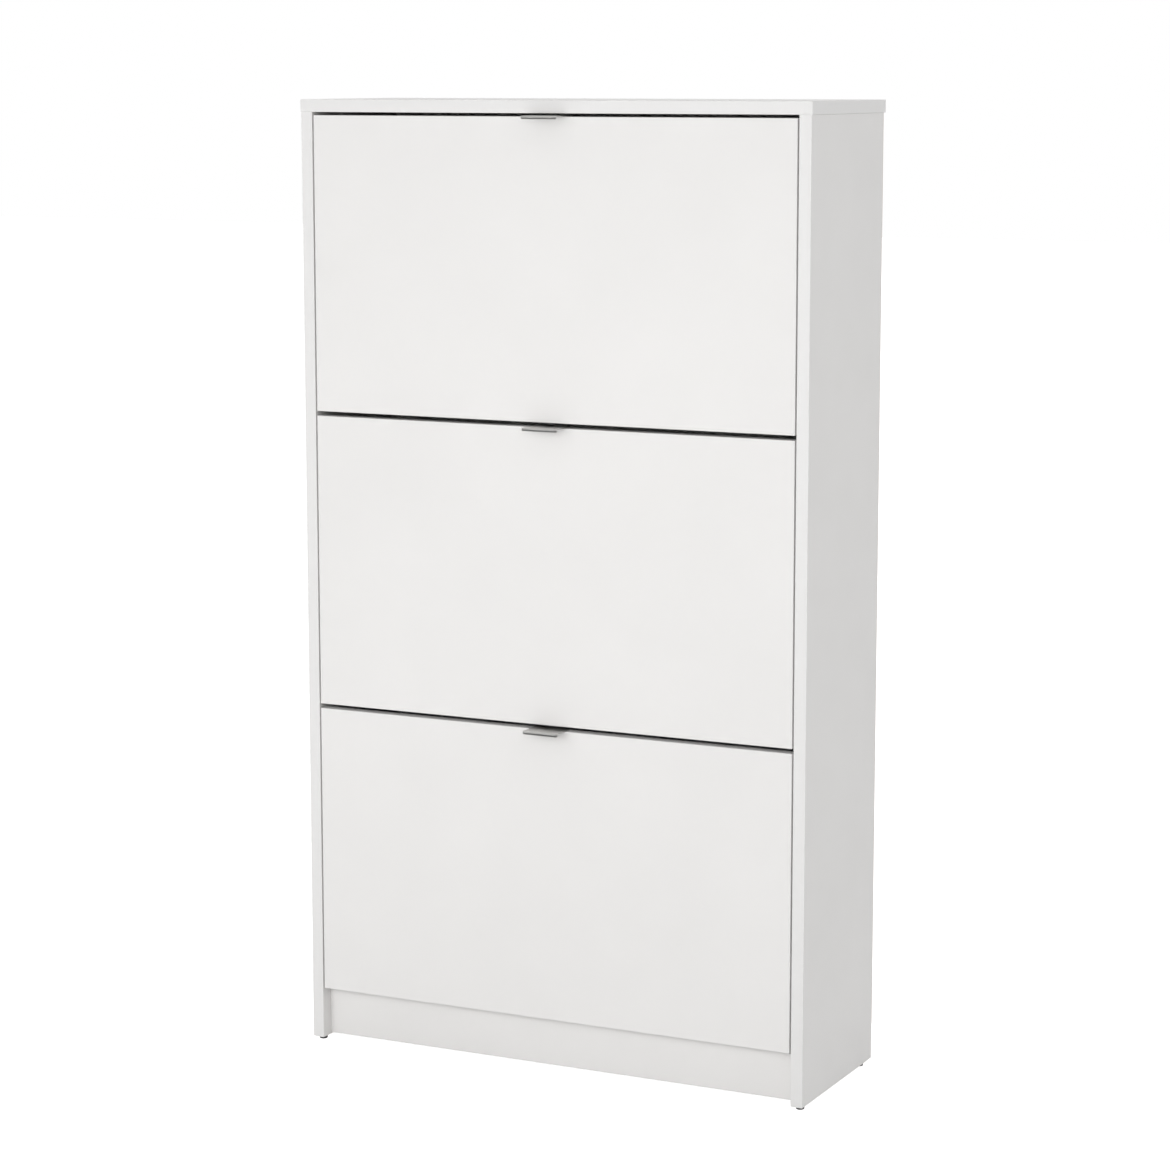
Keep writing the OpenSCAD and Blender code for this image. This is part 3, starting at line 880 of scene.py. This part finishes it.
@dataclass
class Board:
    """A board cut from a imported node: foil or lacquer on its faces, banding on its edges, drilled core."""

    node: str
    body: str
    slot: str
    thickness_axis: Axis
    face: Material
    edge: Material
    core: Material
    bare_faces: tuple[Face, ...] = ()
    other_face: Material | None = None
    other_side: Face | None = None
    radius: float = 0.5 * MM
    radius_steps: int = 3
    flatness: float = 0.02 * MM
    tilt: float = 0.01
    merge_degrees: float = 0.5

    def outer_edges(self, mesh: Mesh) -> list[Edge]:
        """Finds the edges that run along the board's twelve arrises.

        Args:
            mesh: The board's mesh.

        Returns:
            Those edges.
        """
        low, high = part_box(self.node)
        found = []
        for edge in mesh.edges:
            ends = [v.co for v in edge.verts]
            on_side = [
                all(min(abs(e[axis] - low[axis]), abs(e[axis] - high[axis])) < self.flatness for e in ends)
                and abs(ends[0][axis] - ends[1][axis]) < self.flatness
                for axis in Axis
            ]
            if sum(on_side) >= 2:
                found.append(edge)
        return found

    def skin(self, polygon: Polygon, low: Vector, high: Vector) -> Skin:
        """Chooses a polygon's finish by the side or arris that it lies on.

        Args:
            polygon: The polygon.
            low: The board's lowest corner.
            high: The board's highest corner.

        Returns:
            Its finish.
        """
        centre = polygon.calc_center_median()
        for side in Face:
            axis, way = side.value
            at = high[axis] if way > 0 else low[axis]
            if abs(polygon.normal[axis] - way) > self.tilt or abs(centre[axis] - at) > self.flatness:
                continue
            if side in self.bare_faces:
                return Skin.CORE
            if side is self.other_side:
                return Skin.OTHER_FACE
            return Skin.FACE if axis == self.thickness_axis else Skin.EDGE
        return Skin.EDGE if self.on_arris(centre, low, high) else Skin.CORE

    def on_arris(self, centre: Vector, low: Vector, high: Vector) -> bool:
        """Tells whether a point lies on one of the rounded arrises.

        Args:
            centre: The point.
            low: The board's lowest corner.
            high: The board's highest corner.

        Returns:
            Whether it is near the board's sides along at least two axes.
        """
        near = [min(centre[axis] - low[axis], high[axis] - centre[axis]) < self.radius for axis in Axis]
        return sum(near) >= 2

    def build(self) -> Piece:
        """Builds the board.

        Returns:
            The piece.
        """
        low, high = (Vector(corner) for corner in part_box(self.node))
        mesh = node_mesh(self.node)
        bmesh.ops.dissolve_limit(mesh, angle_limit=math.radians(self.merge_degrees), verts=mesh.verts,
                                 edges=mesh.edges)
        bmesh.ops.bevel(mesh, geom=self.outer_edges(mesh), offset=self.radius, segments=self.radius_steps,
                        profile=0.5, affect="EDGES", clamp_overlap=True)
        # The bevel frees faces in an order that varies from run to run; a copy has them in a fixed one.
        rounded = mesh.copy()
        mesh.free()
        refill_flats(rounded)
        for polygon in rounded.faces:
            polygon.material_index = self.skin(polygon, low, high)
        materials = [self.face, self.edge, self.core, self.other_face or self.face]
        return finish_piece(f"{self.node}_board", rounded, materials, self.body, [self.node])


# Handle -----------------------------------------


class SheetPoint(NamedTuple):
    """A point of the handle's section, on the sheet's middle line."""

    y: float
    z: float
    at_corner: bool = False
    leg_end: bool = False


@dataclass
class BentTab:
    """A flap's handle: sheet bent down into a lip in front and into a leg behind the flap."""

    level: Level
    finish: Material
    sheet: float = 1.2 * MM
    lip_drop: float = 2.6 * MM
    corner: float = 4.5 * MM
    corner_degrees: float = 55.0
    leg_share: float = 0.9
    bend: float = 1.6 * MM
    edge_round: float = 0.18 * MM
    round_steps: int = 2
    round_degrees: float = 50.0
    smooth_degrees: float = 40.0
    hole_radius: float = 1.8 * MM
    hole_depth: float = 20 * MM
    bend_steps: int = 7
    corner_steps: int = 9
    flat_steps: int = 6

    def section(self) -> list[SheetPoint]:
        """Lays out the sheet's middle line from the lip's lower edge back to the leg's lower end.

        Returns:
            Its points; those in front follow the rounded corners, and the last is the leg's end.
        """
        low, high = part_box(self.level.node("handle"))
        half = self.sheet / 2
        front, rear, top = low[Axis.DEEP] + half, high[Axis.DEEP] - half, high[Axis.UP] - half
        lip_end = high[Axis.UP] - self.sheet - self.lip_drop
        bend = arc(self.bend, self.bend_steps)
        start, end = front + self.bend, rear - self.bend
        shares = [k / self.flat_steps for k in range(1, self.flat_steps)]
        return [
            SheetPoint(front, lip_end, at_corner=True),
            *(SheetPoint(front + aside, top - (self.bend - ahead), at_corner=True) for ahead, aside in bend),
            *(SheetPoint(start + (end - start) * share, top) for share in shares),
            *(SheetPoint(rear - (self.bend - ahead), top - aside) for ahead, aside in bend),
            SheetPoint(rear, low[Axis.UP] + self.corner),
            SheetPoint(rear, low[Axis.UP], leg_end=True),
        ]

    def columns(self) -> list[Point]:
        """Spaces the columns across the tab, close together at its rounded corners.

        Returns:
            Each column's x and how far its front is set back by the corner.
        """
        corner = arc(self.corner, self.corner_steps, self.corner_degrees)
        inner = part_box(self.level.node("handle"))[1][Axis.ACROSS] - corner[-1][0]
        half = [(inner * k / self.flat_steps, 0.0) for k in range(self.flat_steps)]
        half += [(inner + ahead, aside) for ahead, aside in corner]
        return [(-x, back) for x, back in reversed(half[1:])] + half

    def screw_places(self) -> list[Vector]:
        """Finds the middles of the two screws that hold the leg.

        Returns:
            Their middles.
        """
        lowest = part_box(self.level.node("handle"))[0][Axis.UP]
        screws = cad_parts[self.level.node("flap_screws")].data.vertices
        middles = []
        for way in (-1, 1):
            corners = [corner.co for corner in screws if corner.co.z > lowest and corner.co.x * way > 0]
            low, high = (Vector(end(corner[axis] for corner in corners) for axis in Axis)
                         for end in (min, max))
            middles.append((low + high) / 2)
        return middles

    def build(self) -> Piece:
        """Builds the handle.

        Returns:
            The piece.
        """
        mesh = bmesh.new()
        section, columns = self.section(), self.columns()
        grid = []
        for x, back in columns:
            line = []
            for point in section:
                set_back = back if point.at_corner else 0.0
                rise = back * self.leg_share if point.leg_end else 0.0
                line.append(mesh.verts.new((x, point.y + set_back, point.z + rise)))
            grid.append(line)
        for left, right in zip(grid, grid[1:]):
            for k in range(len(left) - 1):
                mesh.faces.new((left[k], right[k], right[k + 1], left[k + 1]))
        mesh.normal_update()
        piece = finish_piece(self.level.node("bent_handle"), mesh, [self.finish], self.level.body,
                             [self.level.node("handle")])
        solid = piece.modifiers.new("sheet", "SOLIDIFY")
        solid.thickness = self.sheet
        solid.offset = 0.0
        solid.use_even_offset = True
        apply_modifiers(piece)
        rounded_edges(piece, self.edge_round, self.round_steps, self.round_degrees)
        drill(piece, self.screw_places(), self.hole_radius, self.hole_depth)
        smooth_by_angle(piece, self.smooth_degrees)
        return piece


# Glides -----------------------------------------


@dataclass
class Glides:
    """The four round glides, each turned from a profile and pegged into a side's lower end."""

    finish: Material
    edge: float = 1.4 * MM
    edge_steps: int = 5
    upper_edge: float = 0.3 * MM
    hollow: float = 0.4 * MM
    hollow_shares: Span = (0.42, 0.50)
    peg_radius: float = 2.5 * MM
    peg_taper: float = 0.8 * MM
    peg_tip: float = 0.6
    steps: int = 40
    smooth_degrees: float = 35.0

    def profile(self, radius: float, height: float, peg_top: float) -> list[Point]:
        """Lays out half of a glide's section.

        Args:
            radius: The glide's radius.
            height: Where the side rests on it.
            peg_top: The top of its peg.

        Returns:
            Points as radius and height, from the foot's centre to the peg's top.
        """
        inner, outer = (radius * share for share in self.hollow_shares)
        points = [(0.0, self.hollow), (inner, self.hollow), (outer, 0.0)]
        points += [(radius - (self.edge - ahead), rise) for ahead, rise in arc(self.edge, self.edge_steps)]
        points += [(radius, height - self.upper_edge), (radius - self.upper_edge, height)]
        points += [(self.peg_radius, height), (self.peg_radius, peg_top - self.peg_taper)]
        points += [(self.peg_radius * self.peg_tip, peg_top), (0.0, peg_top)]
        return points

    def build(self) -> Piece:
        """Builds the glides.

        Returns:
            The piece.
        """
        low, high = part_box("glides")
        side_low, side_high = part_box("right_side")
        side_x = (side_low[Axis.ACROSS] + side_high[Axis.ACROSS]) / 2
        radius = high[Axis.ACROSS] - side_x
        rows = (low[Axis.DEEP] + radius, high[Axis.DEEP] - radius)
        outline = self.profile(radius, side_low[Axis.UP], high[Axis.UP])
        mesh = bmesh.new()
        for x in (-side_x, side_x):
            for y in rows:
                self.turn(mesh, Vector((x, y, 0.0)), outline)
        piece = finish_piece("round_glides", mesh, [self.finish], CARCASS, ["glides"])
        smooth_by_angle(piece, self.smooth_degrees)
        return piece

    def turn(self, mesh: Mesh, foot: Vector, outline: Sequence[Point]) -> None:
        """Turns the profile about an upright axis.

        Args:
            mesh: The mesh it is added to.
            foot: Where the axis meets the floor.
            outline: Points as radius and height.
        """
        rings = []
        for radius, height in outline:
            if radius == 0.0:
                rings.append([mesh.verts.new(foot + Vector((0, 0, height)))])
                continue
            turns = [2 * math.pi * k / self.steps for k in range(self.steps)]
            rings.append([mesh.verts.new(foot + Vector((radius * math.cos(t), radius * math.sin(t), height)))
                          for t in turns])
        for lower, upper in zip(rings, rings[1:]):
            for k in range(self.steps):
                after = (k + 1) % self.steps
                if len(lower) == 1:
                    mesh.faces.new((lower[0], upper[after], upper[k]))
                elif len(upper) == 1:
                    mesh.faces.new((lower[k], lower[after], upper[0]))
                else:
                    mesh.faces.new((lower[k], lower[after], upper[after], upper[k]))


# Sub-assemblies ---------------------------------


def dress(node: str, material: Material) -> None:
    """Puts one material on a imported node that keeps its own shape.

    Args:
        node: The node's name.
        material: Its material.
    """
    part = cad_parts[node]
    for slot in part.material_slots:
        slot.material = material
    LOG.info("%s keeps its shape, finished in %s", node, material.name)


def moulding(node: str, body: str, material: Material, degrees: float = 30.0) -> None:
    """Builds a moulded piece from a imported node.

    Args:
        node: The node's name.
        body: The body it rides on.
        material: Its material.
        degrees: Edges sharper than this stay sharp.
    """
    piece = finish_piece(f"{node}_moulding", node_mesh(node), [material], body, [node])
    smooth_by_angle(piece, degrees)


@dataclass
class Carcass:
    """The fixed box: boards, thin back, fittings and glides."""

    finishes: Finishes
    back_radius: float = 0.2 * MM

    def board(self, node: str, axis: Axis, bare: tuple[Face, ...] = ()) -> None:
        """Builds one thick white board.

        Args:
            node: The node it stands for.
            axis: The axis of its thickness.
            bare: Its sides that have no foil or banding.
        """
        Board(node, CARCASS, "white_board", axis, self.finishes.foil, self.finishes.band, self.finishes.core,
              bare).build()

    def build_boards(self) -> None:
        """Builds the top, sides, plinth, bottom panel and rails."""
        self.board("top_panel", Axis.UP)
        for side in ("left_side", "right_side"):
            self.board(side, Axis.ACROSS, (Face.REAR, Face.UNDER, Face.TOP))
        self.board("plinth", Axis.DEEP, (Face.LEFT, Face.RIGHT, Face.UNDER))
        self.board("bottom_panel", Axis.UP, (Face.LEFT, Face.RIGHT, Face.REAR, Face.FRONT))
        for level in Level:
            self.board(level.node("rail"), Axis.DEEP, (Face.LEFT, Face.RIGHT))

    def build_back(self) -> None:
        """Builds the two back panels, white inside and bare behind, and the strip between them."""
        for node in ("lower_back", "upper_back"):
            Board(node, CARCASS, "thin_board", Axis.DEEP, self.finishes.thin_white, self.finishes.thin_bare,
                  self.finishes.thin_bare, other_face=self.finishes.thin_bare, other_side=Face.REAR,
                  radius=self.back_radius).build()
        moulding("back_strip", CARCASS, self.finishes.strip)

    def dress_fittings(self) -> None:
        """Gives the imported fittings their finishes."""
        for node in ("back_nails", "cam_bolts", "stop_pins", "wall_plates", "wall_plate_screws"):
            dress(node, self.finishes.zinc_plate)
        dress("cam_locks", self.finishes.cast_zinc)
        dress("dowels", self.finishes.beech)
        dress("pivot_pins", self.finishes.fitting)

    def build(self) -> None:
        """Builds and dresses the whole carcass."""
        self.build_boards()
        self.build_back()
        self.dress_fittings()
        Glides(self.finishes.glide).build()


@dataclass
class FlapUnit:
    """One tip-out flap with its handle, end brackets and stepped shoe rack."""

    level: Level
    finishes: Finishes
    flap_radius: float = 0.7 * MM
    rack_radius: float = 0.25 * MM

    def build_flap(self) -> None:
        """Builds the flap's own board."""
        Board(self.level.node("flap"), self.level.body, "white_board", Axis.DEEP, self.finishes.foil,
              self.finishes.band, self.finishes.core, radius=self.flap_radius).build()

    def build_rack(self) -> None:
        """Builds the rack's four thin boards, white with bare edges."""
        boards = {"front_floor": Axis.UP, "divider": Axis.DEEP, "rear_floor": Axis.UP, "rear_wall": Axis.DEEP}
        for part, axis in boards.items():
            Board(self.level.node(part), self.level.body, "thin_board", axis, self.finishes.thin_white,
                  self.finishes.thin_bare, self.finishes.thin_bare, radius=self.rack_radius).build()

    def build_brackets(self) -> None:
        """Builds the two moulded end brackets."""
        for part in ("left_bracket", "right_bracket"):
            moulding(self.level.node(part), self.level.body, self.finishes.fitting)

    def build(self) -> None:
        """Builds and dresses the whole unit."""
        self.build_flap()
        self.build_rack()
        self.build_brackets()
        BentTab(self.level, self.finishes.nickel).build()
        dress(self.level.node("flap_screws"), self.finishes.zinc_plate)


# Studio -----------------------------------------


@dataclass(frozen=True)
class SoftBox:
    """A square soft light that looks at a point."""

    name: str
    place: Triple
    size: float
    watts: float
    target: Triple = (0.0, 0.0, 0.8)
    mirrored: bool = True

    def build(self) -> None:
        """Hangs the light; one that isn't mirrored stays out of shiny pieces."""
        data = bpy.data.lights.new(self.name, "AREA")
        data.energy = self.watts
        data.size = self.size
        lamp = add_object(self.name, data)
        lamp.location = self.place
        lamp.rotation_euler = (Vector(self.target) - Vector(self.place)).to_track_quat("-Z", "Y").to_euler()
        lamp.visible_camera = False
        lamp.visible_glossy = self.mirrored


class WorldGraph(Graph):
    """The world's shader tree."""

    def __init__(self, name: str) -> None:
        """Starts a world and shows it in the scene.

        Args:
            name: The world's name.
        """
        world = bpy.data.worlds.new(name)
        super().__init__(world)
        bpy.context.scene.world = world

    def glow(self, tone: Socket) -> None:
        """Gives the world a white glow.

        Args:
            tone: Its strength in each direction.
        """
        light = self.tree.nodes["Background"]
        light.inputs["Color"].default_value = (1, 1, 1, 1)
        self.feed(light.inputs["Strength"], tone)


@dataclass
class Studio:
    """Pale floor, white surround, soft boxes and the camera."""

    camera_place: Triple = (1.8259, -3.7124, 1.2741)
    camera_yaw: float = 26.2000
    camera_pitch: float = -8.6565
    camera_roll: float = -0.0301
    lens: float = 100.297
    film_width: float = 36.0
    shift_up: float = -0.015
    farthest: float = 100.0
    room_tone: float = 0.5
    mirror_tones: Span = (0.11, 0.6)
    backdrop_tone: float = 0.95
    skyline: Span = (-0.15, 0.45)
    backline: Span = (-0.1, 0.35)
    floor_size: float = 40.0
    floor_tone: float = 0.85
    floor_roughness: float = 0.9
    boxes: tuple[SoftBox, ...] = (
        SoftBox("left_front_box", (-0.6, -2.6, 0.9), size=1.2, watts=17.5, mirrored=False),
        SoftBox("right_front_box", (0.9, -2.4, 1.25), size=1.2, watts=13.0, mirrored=False),
        SoftBox("key_box", (-4.4, -6.8, 3.4), size=1.2, watts=30.0),
        SoftBox("right_box", (3.0, 0.3, 1.9), size=2.0, watts=14.0),
        SoftBox("left_box", (-3.0, 1.1, 1.2), size=2.0, watts=32.0, mirrored=False),
        SoftBox("top_box", (0.0, 0.3, 3.3), size=0.6, watts=6.0, target=(0.0, 0.05, 1.2), mirrored=False),
    )

    def build_floor(self) -> None:
        """Lays a plain pale floor that looks evenly white, sheds light and stays out of shiny pieces."""
        mesh = bmesh.new()
        bmesh.ops.create_grid(mesh, x_segments=1, y_segments=1, size=self.floor_size / 2)
        floor = add_mesh("studio_floor", mesh)
        graph = ShaderGraph("pale_floor")
        seen = graph.node("ShaderNodeLightPath").outputs["Is Camera Ray"]
        graph.set(Base_Color=(self.floor_tone, self.floor_tone, self.floor_tone, 1.0),
                  Roughness=self.floor_roughness, Emission_Color=(1, 1, 1, 1), Emission_Strength=seen)
        floor.data.materials.append(graph.material)
        floor.visible_glossy = False

    def build_surround(self) -> None:
        """Sets a room that is white to look at, lights evenly and is darker in front in shiny pieces."""
        graph = WorldGraph("white_room")
        across = graph.node("ShaderNodeSeparateXYZ")
        graph.feed(across.inputs[0], graph.node("ShaderNodeTexCoord").outputs["Generated"])
        ray = graph.node("ShaderNodeLightPath").outputs
        front = graph.spread(across.outputs["Z"], *self.mirror_tones, *self.skyline, smooth=True)
        mirrored = graph.spread(across.outputs["Y"], front, self.backdrop_tone, *self.backline, smooth=True)
        shed = graph.spread(ray["Is Glossy Ray"], self.room_tone, mirrored, start=0.0, end=1.0, smooth=True)
        graph.glow(graph.spread(ray["Is Camera Ray"], shed, 1.0, start=0.0, end=1.0, smooth=True))

    def build_camera(self) -> None:
        """Places the camera."""
        data = bpy.data.cameras.new("camera")
        data.lens = self.lens
        data.sensor_width = self.film_width
        data.shift_y = self.shift_up
        data.clip_end = self.farthest
        camera = add_object("camera", data)
        turns = (
            Matrix.Rotation(math.radians(self.camera_yaw), 4, "Z")
            @ Matrix.Rotation(math.radians(90 + self.camera_pitch), 4, "X")
            @ Matrix.Rotation(math.radians(self.camera_roll), 4, "Z")
        )
        camera.matrix_world = Matrix.Translation(self.camera_place) @ turns
        bpy.context.scene.camera = camera

    def build(self) -> None:
        """Builds the studio."""
        bpy.context.scene.view_settings.view_transform = "Standard"
        self.build_floor()
        self.build_surround()
        self.build_camera()
        for box in self.boxes:
            box.build()


def main() -> None:
    """Builds the studio, then the carcass and the three flap units."""
    logging.basicConfig(level=logging.INFO, format="%(name)s: %(message)s")
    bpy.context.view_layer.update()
    Studio().build()
    finishes = Finishes()
    Carcass(finishes).build()
    for level in Level:
        FlapUnit(level, finishes).build()


if __name__ == "__main__":
    main()
